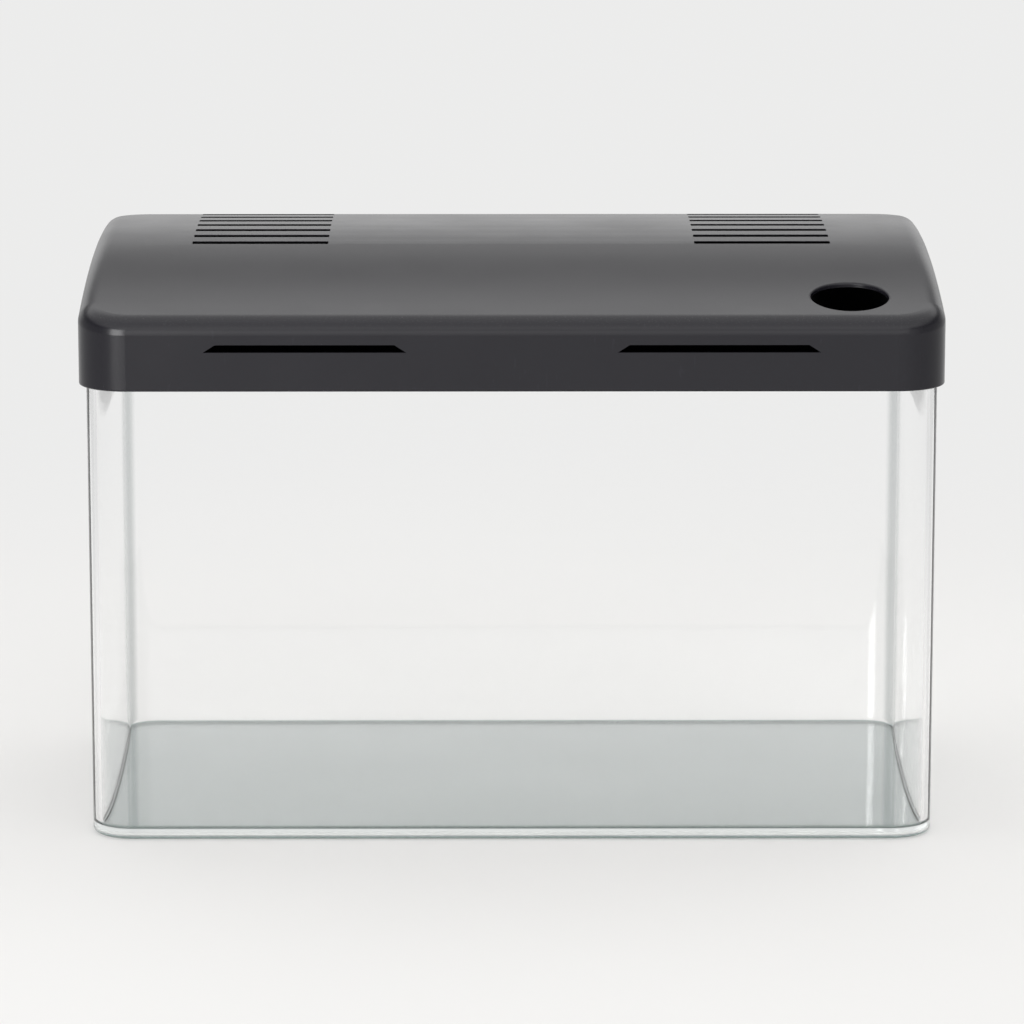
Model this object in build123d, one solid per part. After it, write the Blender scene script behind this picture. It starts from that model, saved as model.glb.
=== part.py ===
from build123d import *
import math
import os

# All sizes are in millimetres. X runs to the right, Y to the rear and Z up.
# The origin is the middle of the face that the tank stands on.

# Tank
tank_length = 400.0
tank_depth = 220.0
tank_height = 228.0
tank_corner = 20.0
tank_wall = 4.0
tank_floor = 4.5
tank_foot_round = 5.0
tank_floor_round = 2.0
tank_rim_round = 1.0

# Hood shell
hood_gap = 0.9
hood_wall = 2.6
hood_lap = 11.0
hood_front_height = 33.8
hood_top_round = 9.0
hood_lip_round = 0.8
roof_radius = 700.0
roof_peak_setback = 66.5
ledge_width = 7.0
ledge_thickness = 2.2
boss_radius = 3.6
splash_wall = 1.6
splash_wall_setback = 1.0
splash_wall_rise = 4.0
splash_wall_reach = 6.0

# Soft pads between the tank's rim and the hood's ledge
pad_length = 24.0
pad_width = 3.4
pad_thickness = 1.2
pad_spread = 120.0

# Vent grilles in the roof
vent_count = 7
vent_length = 66.0
vent_width = 6.0
vent_corner = 0.8
vent_front_setback = 120.0
vent_rear_setback = 11.0
vent_offset = 121.8

# Feed hole in the roof
feed_radius = 18.3
feed_x = 158.8
feed_setback = 30.0
feed_round = 1.0
feed_chute_wall = 1.6
feed_chute_drop = 11.0

# Slots in the front of the skirt
slot_offset = 96.6
slot_long_side = 94.8
slot_short_side = 83.6
slot_height = 3.6
slot_rise = 18.5

# Lamp under the roof
lamp_length = 308.0
lamp_width = 64.0
lamp_setback = 93.5
lamp_corner = 8.0
lamp_air = 4.5
lamp_flange = 2.5
tray_end_inset = 12.0
tray_side_inset = 11.0
tray_height = 13.0
tray_wall = 2.0
tray_ceiling = 2.5
tray_corner = 4.0
tray_screw_room = 1.4
tray_screw_inset = 7.0
lens_inset = 8.0
lens_thickness = 2.0
lens_corner = 6.0
lens_clearance = 0.4
frame_lip = 1.5
frame_lip_width = 5.0
gasket_thickness = 1.0
gasket_width = 2.5
frame_screw_inset = 4.0
frame_screw_end = 6.0
lamp_lead_x = -10.0

# Lamp board
board_thickness = 1.6
board_side_room = 4.0
board_screw_inset = 5.0
led_count = 12
led_end_room = 22.0
led_row = 7.0
led_side = 3.0
led_height = 0.8
plug_length = 8.0
plug_depth = 5.0
plug_height = 5.6

# Driver case behind the lamp
case_length = 84.0
case_depth = 44.0
case_height = 15.0
case_setback = 37.5
case_wall = 2.0
case_corner = 4.0
case_air = 7.0
ear_length = 12.0
ear_depth = 14.0
ear_thickness = 2.5
post_radius = 3.0
post_inset = 2.4
cover_thickness = 2.5
driver_end_room = 8.0
driver_side_room = 6.0
standoff_height = 4.4
standoff_radius = 2.5
standoff_end_inset = 8.0
standoff_side_inset = 5.0
capacitor_radius = 4.0
capacitor_height = 6.0
capacitor_x = -18.0
inductor_radius = 5.0
inductor_neck_radius = 4.2
inductor_height = 4.0
inductor_x = -6.0
chip_side = 5.0
chip_height = 1.5
chip_x = 8.0
part_row_inset = 8.0
terminal_side = 7.0
terminal_height = 6.0
case_outlet_x = 10.0
switched_inlet = -1.0
return_inlet = -10.0
cover_screw_bite = 6.0

# Screws
screw_radius = 1.3
screw_head_radius = 2.6
screw_head_height = 1.6
small_screw_radius = 0.9
small_screw_head_radius = 1.7
small_screw_head_height = 1.0
thread_clearance = 0.05
hole_clearance = 0.3

# Leads and grommets
wire_radius = 0.8
cable_radius = 1.5
lead_clearance = 0.05
arc_share = 0.45
grommet_neck = 1.2
grommet_flange = 1.0
grommet_flange_thickness = 1.0

# Power inlet in the rear of the skirt
rear_row_rise = 28.0
jack_x = 104.0
jack_radius = 3.9
jack_depth = 15.5
jack_flange_radius = 5.6
jack_flange = 1.6
jack_bore_radius = 2.85
jack_bore_depth = 9.5
jack_pin_radius = 1.05
jack_pin_length = 7.5
jack_seal = 0.8
jack_nut_width = 11.0
jack_nut_thickness = 2.5
jack_pin_root = 2.0
jack_blade_spread = 5.0
jack_blade_width = 2.2
jack_blade_thickness = 0.5
jack_blade_length = 6.0

# Rocker switch in the rear of the skirt
switch_x = 70.0
bezel_lap = 1.2
bezel_thickness = 1.8
switch_side_wall = 1.3
switch_end_wall = 0.9
switch_back = 2.5
rocker_side_gap = 0.3
rocker_end_gap = 0.36
rocker_width = 9.4
rocker_height = 14.8
rocker_taper = 0.6
rocker_rise = 4.6
rocker_dip = 2.9
rocker_depth = 1.8
rocker_bevel = 0.4
rocker_swing = 22.0
rocker_pin_radius = 1.0
rocker_pin_length = 0.9
rocker_pivot_depth = 1.5
running_clearance = 0.05
panel_clearance = 0.1
stem_side = 3.8
stem_length = 3.7
plunger_radius = 1.2
plunger_round = 1.1
plunger_length = 3.0
plunger_reach = 1.1
spring_radius = 0.95
spring_wire = 0.15
spring_turns = 5
spring_room = 2.6
contact_gap = 0.5
contact_room = 2.4
contact_length = 11.0
contact_width = 3.6
contact_thickness = 0.5
contact_share = 0.6
button_radius = 0.9
button_height = 0.4
button_inset = 0.1
terminal_radius = 1.1
blade_width = 4.8
blade_thickness = 0.8
blade_length = 8.0
terminal_gap = 0.1

# Sleeves over the blades
sleeve_wall = 1.0
sleeve_tail = 3.5
sleeve_gap = 0.3

# Places worked out from the sizes above
hood_length = tank_length + 2 * (hood_gap + hood_wall)
hood_depth = tank_depth + 2 * (hood_gap + hood_wall)
hood_corner = tank_corner + hood_gap + hood_wall
hood_bottom = tank_height - hood_lap
hood_front = -hood_depth / 2
hood_rear = hood_depth / 2
roof_peak_y = hood_rear - roof_peak_setback
roof_axis_z = hood_bottom + hood_front_height - math.sqrt(roof_radius**2 - (roof_peak_y - hood_front) ** 2)
vent_pitch = (hood_depth - vent_front_setback - vent_rear_setback) / (vent_count - 1)
feed_y = hood_front + feed_setback
lamp_y = hood_front + lamp_setback
case_y = hood_rear - case_setback
ledge_bottom = tank_height + pad_thickness
inlet_z = hood_bottom + rear_row_rise


def roof_height(y, inset=0.0):
    """Height of the roof's outer face at y, or of a face that lies inset below it."""
    return roof_axis_z + math.sqrt((roof_radius - inset) ** 2 - (y - roof_peak_y) ** 2)


tray_length = lamp_length - 2 * tray_end_inset
tray_width = lamp_width - 2 * tray_side_inset
tray_screw_x = tray_length / 2 - tray_wall - tray_screw_room - screw_head_radius
tray_screw_y = tray_width / 2 - tray_wall - tray_screw_inset
lens_length = lamp_length - 2 * lens_inset
lens_width = lamp_width - 2 * lens_inset
board_length = 2 * (tray_screw_x - screw_head_radius - tray_screw_room)
board_width = tray_width - 2 * (tray_wall + board_side_room)
led_pitch = (board_length - 2 * led_end_room) / (led_count - 1)
lamp_top = roof_height(lamp_y - tray_width / 2, hood_wall) - lamp_air
tray_bottom = lamp_top - tray_height
lens_top = tray_bottom - gasket_thickness
lens_bottom = lens_top - lens_thickness
frame_bottom = lens_bottom - frame_lip
board_top = lamp_top - tray_ceiling
board_bottom = board_top - board_thickness
lamp_grommet_radius = cable_radius + lead_clearance + grommet_neck + grommet_flange
lamp_lead_z = board_top - lamp_grommet_radius - hole_clearance
tray_rear = lamp_y + tray_width / 2
driver_length = case_length - 2 * (case_wall + driver_end_room)
driver_width = case_depth - 2 * (case_wall + driver_side_room)
part_row = driver_width / 2 - part_row_inset
standoff_x = driver_length / 2 - standoff_end_inset
standoff_y = driver_width / 2 - standoff_side_inset
case_front = case_y - case_depth / 2
case_rear = case_y + case_depth / 2
case_right = case_length / 2
ear_x = case_right + ear_length / 2
switched_inlet_y = case_y + switched_inlet
return_inlet_y = case_y + return_inlet
case_top = roof_height(case_rear, hood_wall) - case_air
case_bottom = case_top - case_height
cover_top = case_bottom - gasket_thickness
cover_bottom = cover_top - cover_thickness
driver_top = case_top - case_wall - standoff_height
driver_bottom = driver_top - board_thickness
inlet_height = driver_bottom - terminal_height / 2
rocker_y = hood_rear - rocker_pivot_depth
jack_end = hood_rear - jack_depth
rocker_rest = rocker_swing / 2
rocker_lean = math.radians(rocker_rest)
rocker_reach = rocker_height / 2 * math.cos(rocker_lean) + rocker_rise * math.sin(rocker_lean)
window_width = rocker_width + 2 * rocker_side_gap
window_height = 2 * (rocker_reach + rocker_end_gap)
switch_width = window_width + 2 * switch_side_wall
switch_height = window_height + 2 * switch_end_wall
bezel_width = switch_width + 2 * bezel_lap
bezel_height = switch_height + 2 * bezel_lap
contact_rest = rocker_rest * contact_share
plunger_tip = -rocker_depth - stem_length - plunger_reach
spring_top = plunger_tip + plunger_length + spring_room
contact_pivot_y = rocker_y + plunger_tip - contact_gap - contact_thickness
switch_floor = contact_pivot_y - contact_room
switch_end = switch_floor - switch_back
button_offset = contact_length / 2 - button_radius - button_inset
button_swing = (button_offset + button_radius) * math.sin(math.radians(contact_rest))


def slab(length, depth, low, high, corner=0.0, x=0.0, y=0.0):
    """An upright block from low to high, with round upright corners where corner is given."""
    outline = RectangleRounded(length, depth, corner) if corner else Rectangle(length, depth)
    return Pos(x, y, low) * extrude(outline, amount=high - low)


def disc(radius, low, high, x=0.0, y=0.0):
    """An upright cylinder from low to high."""
    return Pos(x, y, (low + high) / 2) * Cylinder(radius, high - low)


def rod(radius, front, rear, x, z):
    """A cylinder along Y from front to rear."""
    return Pos(x, (front + rear) / 2, z) * Rot(90, 0, 0) * Cylinder(radius, rear - front)


def bar(width, height, front, rear, x, z):
    """A block along Y from front to rear, centred on x and z."""
    return Pos(x, (front + rear) / 2, z) * Box(width, rear - front, height)


def screw(x, y, seat, length, radius, head_radius, head_height):
    """A screw driven upwards: its head hangs below seat and its shank rises by length."""
    head = disc(head_radius, seat - head_height, seat, x, y)
    head = fillet(head.edges().group_by(Axis.Z)[0], head_height / 3)
    cross_width = head_radius / 4
    cross = Box(head_radius, cross_width, head_height) + Box(cross_width, head_radius, head_height)
    return head + disc(radius, seat, seat + length, x, y) - Pos(x, y, seat - head_height) * cross


def large_screw(x, y, seat, length):
    return screw(x, y, seat, length, screw_radius, screw_head_radius, screw_head_height)


def small_screw(x, y, seat, length):
    return screw(x, y, seat, length, small_screw_radius, small_screw_head_radius, small_screw_head_height)


def corners(x_reach, y_reach, x=0.0, y=0.0):
    """The four corners of an upright rectangle round x and y."""
    return [(x + i * x_reach, y + j * y_reach) for i in (-1, 1) for j in (-1, 1)]


def tank_shell():
    """One moulded vessel, open at the top, with a round foot."""
    outer = slab(tank_length, tank_depth, 0, tank_height, tank_corner)
    outer = fillet(outer.edges().group_by(Axis.Z)[0], tank_foot_round)
    length = tank_length - 2 * tank_wall
    depth = tank_depth - 2 * tank_wall
    inner = slab(length, depth, tank_floor, tank_height + 1, tank_corner - tank_wall)
    inner = fillet(inner.edges().group_by(Axis.Z)[0], tank_floor_round)
    shell = outer - inner
    return fillet(shell.edges().group_by(Axis.Z)[-1], tank_rim_round)


def hood_block(inset, low):
    """The solid under the roof, drawn in by inset on the top and all sides."""
    length = hood_length - 2 * inset
    depth = hood_depth - 2 * inset
    high = roof_height(roof_peak_y, inset) + 1
    block = slab(length, depth, low, high, hood_corner - inset)
    arch = Pos(0, roof_peak_y, roof_axis_z) * Rot(0, 90, 0) * Cylinder(roof_radius - inset, length + 2)
    block = block & arch
    roof = block.faces().sort_by(Axis.Z)[-1]
    return fillet(roof.edges(), hood_top_round - inset)


def hood_ledge():
    """The inner ring that carries the hood on its pads."""
    top = ledge_bottom + ledge_thickness
    half = hood_wall / 2
    inset = hood_wall + ledge_width
    ring = slab(hood_length - 2 * half, hood_depth - 2 * half, ledge_bottom, top, hood_corner - half)
    hollow = slab(hood_length - 2 * inset, hood_depth - 2 * inset, ledge_bottom, top, hood_corner - inset)
    return ring - hollow


def boss_places():
    """Where each roof boss stands, and the height of its lower end."""
    tray = [(x, y, lamp_top) for x, y in corners(tray_screw_x, tray_screw_y, 0, lamp_y)]
    case = [(side * ear_x, case_y, case_top) for side in (-1, 1)]
    return tray + case


def vent_slots():
    """Cutters for both grilles, one slot behind the other."""
    slots = []
    for side in (-1, 1):
        for k in range(vent_count):
            y = hood_front + vent_front_setback + k * vent_pitch
            low = roof_height(y) - hood_top_round
            high = low + hood_top_round + 2 * hood_wall
            slots.append(slab(vent_length, vent_width, low, high, vent_corner, side * vent_offset, y))
    return slots


def splash_walls():
    """Low walls on the ledge that stand behind the front slots and stop splashes."""
    length = slot_long_side + 2 * splash_wall_reach
    low = ledge_bottom + ledge_thickness / 2
    high = hood_bottom + slot_rise + slot_height + splash_wall_rise
    rear = hood_front + hood_wall + ledge_width - splash_wall_setback
    wall = slab(length, splash_wall, low, high)
    wall = fillet(wall.edges().group_by(Axis.Z)[-1], splash_wall / 4)
    return [Pos(side * slot_offset, rear - splash_wall / 2, 0) * wall for side in (-1, 1)]


def front_slots():
    """Cutters for the two long slots in the front, wider at the bottom than at the top."""
    long_half = slot_long_side / 2
    short_half = slot_short_side / 2
    outline = Polygon(
        (-long_half, 0), (long_half, 0), (short_half, slot_height), (-short_half, slot_height), align=None
    )
    cutter = extrude(Plane.XZ * outline, amount=2 * hood_wall)
    low = hood_bottom + slot_rise
    return [Pos(side * slot_offset, hood_front + 1.5 * hood_wall, low) * cutter for side in (-1, 1)]


def hood_shell():
    """Roof and skirt in one skin, with a ledge over the tank's rim and bosses for what hangs below."""
    outer = hood_block(0.0, hood_bottom)
    outer = fillet(outer.edges().group_by(Axis.Z)[0], hood_lip_round)
    feed_hole = disc(feed_radius, hood_bottom - 1, roof_height(roof_peak_y) + 1, feed_x, feed_y)
    outer = fillet((outer - feed_hole).edges().filter_by(is_feed_lip), feed_round)
    shell = outer - hood_block(hood_wall, hood_bottom - 1) + hood_ledge() + feed_chute()
    for wall in splash_walls():
        shell += wall
    for x, y, low in boss_places():
        shell += disc(boss_radius, low, roof_height(y, hood_wall / 2), x, y)
    for x, y, low in boss_places():
        shell -= disc(screw_radius + thread_clearance, low, roof_height(y, hood_wall), x, y)
    for cutter in vent_slots() + front_slots():
        shell -= cutter
    inside = hood_rear - 2 * hood_wall
    shell -= rod(jack_radius + thread_clearance, inside, hood_rear + 1, jack_x, inlet_z)
    width = switch_width + 2 * panel_clearance
    height = switch_height + 2 * panel_clearance
    return shell - bar(width, height, inside, hood_rear + 1, switch_x, inlet_z)


def feed_chute():
    """A short wall down from the rim of the feed hole, which guides the food and hides the inside."""
    low = roof_height(feed_y + feed_radius, hood_wall) - feed_chute_drop
    high = roof_height(roof_peak_y) + 1
    chute = disc(feed_radius + feed_chute_wall, low, high, feed_x, feed_y)
    chute = chute & hood_block(hood_wall / 2, hood_bottom)
    return chute - disc(feed_radius, low - 1, high, feed_x, feed_y)


def is_feed_lip(edge):
    """Whether an edge is the upper rim of the feed hole."""
    middle = edge.center(CenterOf.BOUNDING_BOX)
    return math.hypot(middle.X - feed_x, middle.Y - feed_y) < feed_radius / 2 and middle.Z > tank_height


def rim_pads():
    """Pads on the rim: two in front, two behind and one at each end."""
    pad = extrude(SlotOverall(pad_length, pad_width), amount=pad_thickness)
    rim_x = (tank_length - tank_wall) / 2
    rim_y = (tank_depth - tank_wall) / 2
    pads = [Pos(x, y, tank_height) * pad for x, y in corners(pad_spread, rim_y)]
    pads += [Pos(side * rim_x, 0, tank_height) * Rot(0, 0, 90) * pad for side in (-1, 1)]
    return group(pads)


def frame_screw_places():
    reach_x = lamp_length / 2 - frame_screw_end
    reach_y = lamp_width / 2 - frame_screw_inset
    return [(x, lamp_y + side * reach_y) for x in (-reach_x, 0, reach_x) for side in (-1, 1)]


def board_screw_places():
    reach_x = board_length / 2 - board_screw_inset
    reach_y = board_width / 2 - board_screw_inset
    return corners(reach_x, reach_y, 0, lamp_y)


def lamp_tray():
    """The lamp's body: a long tray, open below, with a flange for the frame."""
    tray = slab(tray_length, tray_width, tray_bottom, lamp_top, tray_corner, 0, lamp_y)
    tray += slab(lamp_length, lamp_width, tray_bottom, tray_bottom + lamp_flange, lamp_corner, 0, lamp_y)
    length = tray_length - 2 * tray_wall
    width = tray_width - 2 * tray_wall
    tray -= slab(length, width, tray_bottom, board_top, tray_corner - tray_wall, 0, lamp_y)
    for x, y in corners(tray_screw_x, tray_screw_y, 0, lamp_y):
        tray -= disc(screw_radius + hole_clearance, board_top, lamp_top, x, y)
    for x, y in board_screw_places():
        tray -= disc(small_screw_radius + thread_clearance, board_top, lamp_top, x, y)
    for x, y in frame_screw_places():
        tray -= disc(screw_radius + thread_clearance, tray_bottom, tray_bottom + lamp_flange, x, y)
    return tray - rod(grommet_hole(cable_radius), lamp_y, tray_rear + 1, lamp_lead_x, lamp_lead_z)


def lamp_board():
    board = slab(board_length, board_width, board_bottom, board_top, 0, 0, lamp_y)
    for x, y in board_screw_places():
        board -= disc(small_screw_radius + hole_clearance, board_bottom, board_top, x, y)
    return board


def lamp_leds():
    """Two rows of light-emitting diodes on the lower face of the board."""
    low = board_bottom - led_height
    leds = []
    for k in range(led_count):
        x = (k - (led_count - 1) / 2) * led_pitch
        for row in (-led_row, led_row):
            leds.append(slab(led_side, led_side, low, board_bottom, 0, x, lamp_y + row))
    return group(leds)


def lamp_connector():
    y = lamp_y + (board_width - plug_depth) / 2
    return slab(plug_length, plug_depth, board_bottom - plug_height, board_bottom, 0, lamp_lead_x, y)


def lamp_gasket():
    ring = slab(lens_length, lens_width, lens_top, tray_bottom, lens_corner, 0, lamp_y)
    length = lens_length - 2 * gasket_width
    width = lens_width - 2 * gasket_width
    return ring - slab(length, width, lens_top, tray_bottom, lens_corner - gasket_width, 0, lamp_y)


def lamp_lens():
    return slab(lens_length, lens_width, lens_bottom, lens_top, lens_corner, 0, lamp_y)


def lamp_frame():
    """The screwed frame that holds the lens against its gasket."""
    frame = slab(lamp_length, lamp_width, frame_bottom, tray_bottom, lamp_corner, 0, lamp_y)
    frame = chamfer(frame.edges().group_by(Axis.Z)[0], frame_lip / 2)
    length = lens_length + 2 * lens_clearance
    width = lens_width + 2 * lens_clearance
    frame -= slab(length, width, lens_bottom, tray_bottom, lens_corner + lens_clearance, 0, lamp_y)
    length = lens_length - 2 * frame_lip_width
    width = lens_width - 2 * frame_lip_width
    frame -= slab(length, width, frame_bottom, lens_bottom, lens_corner - frame_lip_width, 0, lamp_y)
    for x, y in frame_screw_places():
        frame -= disc(screw_radius + hole_clearance, frame_bottom, tray_bottom, x, y)
    return frame


def frame_screws():
    length = tray_bottom - frame_bottom + lamp_flange
    return group([large_screw(x, y, frame_bottom, length) for x, y in frame_screw_places()])


def tray_screws():
    length = tray_ceiling + lamp_air
    places = corners(tray_screw_x, tray_screw_y, 0, lamp_y)
    return group([large_screw(x, y, board_top, length) for x, y in places])


def board_screws():
    length = board_thickness + tray_ceiling
    return group([small_screw(x, y, board_bottom, length) for x, y in board_screw_places()])


def grommet_hole(lead_radius):
    """Radius of the hole in a wall for a grommet round a lead."""
    return lead_radius + lead_clearance + grommet_neck


def grommet(lead_radius, wall):
    """A soft ring along Y, centred in a wall, with a lip on both of its faces."""
    neck = grommet_hole(lead_radius)
    half = wall / 2
    lip = half + grommet_flange_thickness
    ring = rod(neck, -half, half, 0, 0)
    for front, rear in ((-lip, -half), (half, lip)):
        ring += rod(neck + grommet_flange, front, rear, 0, 0)
    return ring - rod(lead_radius + lead_clearance, -lip, lip, 0, 0)


def lamp_grommet():
    return Pos(lamp_lead_x, tray_rear - tray_wall / 2, lamp_lead_z) * grommet(cable_radius, tray_wall)


def driver_grommets():
    """Two side grommets for the supply wires and one in front for the lamp's cable."""
    front = Pos(case_outlet_x, case_front + case_wall / 2, inlet_height) * grommet(cable_radius, case_wall)
    side = Rot(0, 0, 90) * grommet(wire_radius, case_wall)
    x = case_right - case_wall / 2
    return group([front] + [Pos(x, y, inlet_height) * side for y in (switched_inlet_y, return_inlet_y)])


def post_places():
    reach_x = case_right - case_wall - post_inset
    reach_y = case_depth / 2 - case_wall - post_inset
    return corners(reach_x, reach_y, 0, case_y)


def standoff_places():
    return [(side * standoff_x, case_y + standoff_y) for side in (-1, 1)]


def driver_case():
    """A splash-proof box, open below, that hangs from the roof by two ears."""
    case = slab(case_length, case_depth, case_bottom, case_top, case_corner, 0, case_y)
    length = case_length - 2 * case_wall
    depth = case_depth - 2 * case_wall
    ceiling = case_top - case_wall
    case -= slab(length, depth, case_bottom, ceiling, case_corner - case_wall, 0, case_y)
    for side in (-1, 1):
        x = side * (case_right + ear_length / 2 - case_wall / 2)
        case += slab(ear_length + case_wall, ear_depth, case_top - ear_thickness, case_top, 0, x, case_y)
        case -= slab(length, depth, case_bottom, ceiling, case_corner - case_wall, 0, case_y)
        case -= disc(screw_radius + hole_clearance, case_top - ear_thickness, case_top, side * ear_x, case_y)
    for x, y in post_places():
        case += disc(post_radius, case_bottom, ceiling, x, y)
        case -= disc(small_screw_radius + thread_clearance, case_bottom, ceiling, x, y)
    for x, y in standoff_places():
        case += disc(standoff_radius, driver_top, ceiling, x, y)
        case -= disc(small_screw_radius + thread_clearance, driver_top, ceiling, x, y)
    inside = case_front + 2 * case_wall
    case -= rod(grommet_hole(cable_radius), case_front - 1, inside, case_outlet_x, inlet_height)
    for y in (switched_inlet_y, return_inlet_y):
        hole = Rot(0, 0, 90) * rod(grommet_hole(wire_radius), -case_wall, case_wall, 0, 0)
        case -= Pos(case_right - case_wall / 2, y, inlet_height) * hole
    return case


def driver_cover():
    cover = slab(case_length, case_depth, cover_bottom, cover_top, case_corner, 0, case_y)
    for x, y in post_places():
        cover -= disc(small_screw_radius + hole_clearance, cover_bottom, cover_top, x, y)
    return cover


def driver_gasket():
    ring = slab(case_length, case_depth, cover_top, case_bottom, case_corner, 0, case_y)
    length = case_length - 2 * case_wall
    depth = case_depth - 2 * case_wall
    return ring - slab(length, depth, cover_top, case_bottom, case_corner - case_wall, 0, case_y)


def cover_screws():
    length = cover_thickness + gasket_thickness + cover_screw_bite
    return group([small_screw(x, y, cover_bottom, length) for x, y in post_places()])


def case_screws():
    length = ear_thickness + case_air - thread_clearance
    seat = case_top - ear_thickness
    return group([large_screw(side * ear_x, case_y, seat, length) for side in (-1, 1)])


def driver_board():
    board = slab(driver_length, driver_width, driver_bottom, driver_top, 0, 0, case_y)
    for x, y in standoff_places():
        board -= disc(small_screw_radius + hole_clearance, driver_bottom, driver_top, x, y)
    return board


def driver_board_screws():
    length = board_thickness + standoff_height - thread_clearance
    return group([small_screw(x, y, driver_bottom, length) for x, y in standoff_places()])


def driver_capacitor():
    """A round can with a crimped neck, on the lower face of the board."""
    low = driver_bottom - capacitor_height
    can = disc(capacitor_radius, low, driver_bottom, capacitor_x, case_y - part_row)
    return fillet(can.edges().group_by(Axis.Z)[0], capacitor_radius / 8)


def driver_inductor():
    """A bobbin core with its wound middle drawn in."""
    y = case_y + part_row
    low = driver_bottom - inductor_height
    plate = inductor_height / 4
    core = disc(inductor_neck_radius, low, driver_bottom, inductor_x, y)
    core += disc(inductor_radius, low, low + plate, inductor_x, y)
    return core + disc(inductor_radius, driver_bottom - plate, driver_bottom, inductor_x, y)


def driver_chip():
    low = driver_bottom - chip_height
    return slab(chip_side, chip_side, low, driver_bottom, 0, chip_x, case_y + part_row)


def driver_terminals():
    """Blocks on the lower face of the board where the wires end."""
    low = driver_bottom - terminal_height
    x = (driver_length - terminal_side) / 2
    front = case_y - (driver_width - terminal_side) / 2
    places = [(x, switched_inlet_y), (x, return_inlet_y), (case_outlet_x, front)]
    return group([slab(terminal_side, terminal_side, low, driver_bottom, 0, x, y) for x, y in places])


def jack_blade_places():
    return [jack_x + side * jack_blade_spread / 2 for side in (-1, 1)]


def dc_jack_body():
    """The inlet's barrel, with a blind bore that opens to the rear."""
    flange = hood_rear + jack_seal
    rear = flange + jack_flange
    body = rod(jack_radius, jack_end, rear, jack_x, inlet_z)
    body += rod(jack_flange_radius, flange, rear, jack_x, inlet_z)
    body = fillet(body.edges().group_by(Axis.Y)[-1], jack_flange / 4)
    body -= rod(jack_bore_radius, rear - jack_bore_depth, rear, jack_x, inlet_z)
    body -= rod(jack_pin_radius, rear - jack_bore_depth - jack_pin_root, rear, jack_x, inlet_z)
    for x in jack_blade_places():
        body -= bar(jack_blade_thickness, jack_blade_width, jack_end, jack_end + jack_pin_root, x, inlet_z)
    return body


def dc_jack_pin():
    bottom = hood_rear + jack_seal + jack_flange - jack_bore_depth
    pin = rod(jack_pin_radius, bottom - jack_pin_root, bottom + jack_pin_length, jack_x, inlet_z)
    return fillet(pin.edges().group_by(Axis.Y)[-1], jack_pin_radius / 2)


def dc_jack_seal():
    ring = rod(jack_flange_radius - jack_seal / 2, hood_rear, hood_rear + jack_seal, jack_x, inlet_z)
    return ring - rod(jack_radius + thread_clearance, hood_rear, hood_rear + jack_seal, jack_x, inlet_z)


def dc_jack_nut():
    front = hood_rear - hood_wall - jack_nut_thickness
    hexagon = Plane.XZ * RegularPolygon(jack_nut_width / 2, 6, major_radius=False)
    nut = Pos(jack_x, front, inlet_z) * extrude(hexagon, amount=-jack_nut_thickness)
    return nut - rod(jack_radius + thread_clearance, front, front + jack_nut_thickness, jack_x, inlet_z)


def dc_jack_blades():
    front = jack_end - jack_blade_length
    rear = jack_end + jack_pin_root
    width = jack_blade_thickness
    return group([bar(width, jack_blade_width, front, rear, x, inlet_z) for x in jack_blade_places()])


def switch_blade_places():
    """Heights of the middle blade and the lower one, behind the lower contact button."""
    return (inlet_z, inlet_z - button_offset)


def switch_housing():
    """Bezel and body of the switch, with a window for the rocker and holes for its pins."""
    housing = bar(bezel_width, bezel_height, hood_rear, hood_rear + bezel_thickness, switch_x, inlet_z)
    housing = fillet(housing.edges().filter_by(Axis.Y), bezel_thickness / 2)
    housing = chamfer(housing.faces().sort_by(Axis.Y)[-1].edges(), bezel_thickness / 4)
    housing += bar(switch_width, switch_height, switch_end, hood_rear, switch_x, inlet_z)
    housing -= bar(window_width, window_height, switch_floor, hood_rear + bezel_thickness, switch_x, inlet_z)
    reach = rocker_width + 2 * (rocker_pin_length + hole_clearance)
    bearing = Rot(0, 90, 0) * Cylinder(rocker_pin_radius + running_clearance, reach)
    housing -= Pos(switch_x, rocker_y, inlet_z) * bearing
    for z in switch_blade_places():
        housing -= bar(blade_width, blade_thickness, switch_end, switch_floor, switch_x, z)
    return housing


def switch_blades():
    """Two blades through the back of the housing, the middle one with an edge that carries the contact."""
    tip = switch_end - blade_length
    places = switch_blade_places()
    blades = [bar(blade_width, blade_thickness, tip, switch_floor, switch_x, z) for z in places]
    edge = contact_pivot_y - terminal_gap
    pad = contact_pivot_y - button_height - button_swing - terminal_gap
    blades[0] += bar(contact_width, blade_thickness, switch_floor, edge, switch_x, inlet_z)
    blades[1] += rod(terminal_radius, switch_floor, pad, switch_x, inlet_z - button_offset)
    return group(blades)


def switch_rocker():
    """The rocker with its pins, tipped to its off position, with a bored stem behind it."""
    half = rocker_height / 2
    inner = half - rocker_taper
    outline = Polygon(
        (rocker_rise, half),
        (rocker_dip, 0),
        (rocker_rise, -half),
        (-rocker_depth, -inner),
        (-rocker_depth, inner),
        align=None,
    )
    rocker = extrude(Plane.YZ * outline, amount=rocker_width / 2, both=True)
    rocker = chamfer(rocker.edges().filter_by(Axis.X).group_by(Axis.Y)[-1], rocker_bevel)
    rocker += bar(stem_side, stem_side, -rocker_depth - stem_length, -rocker_depth, 0, 0)
    rocker += Rot(0, 90, 0) * Cylinder(rocker_pin_radius, rocker_width + 2 * rocker_pin_length)
    rocker -= rod(plunger_radius + running_clearance, -rocker_depth - stem_length, spring_top, 0, 0)
    return in_rocker(rocker)


def in_rocker(piece):
    """Puts a piece drawn round the rocker's pins with the rocker upright into its place when off."""
    return Pos(switch_x, rocker_y, inlet_z) * Rot(-rocker_rest, 0, 0) * piece


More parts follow.
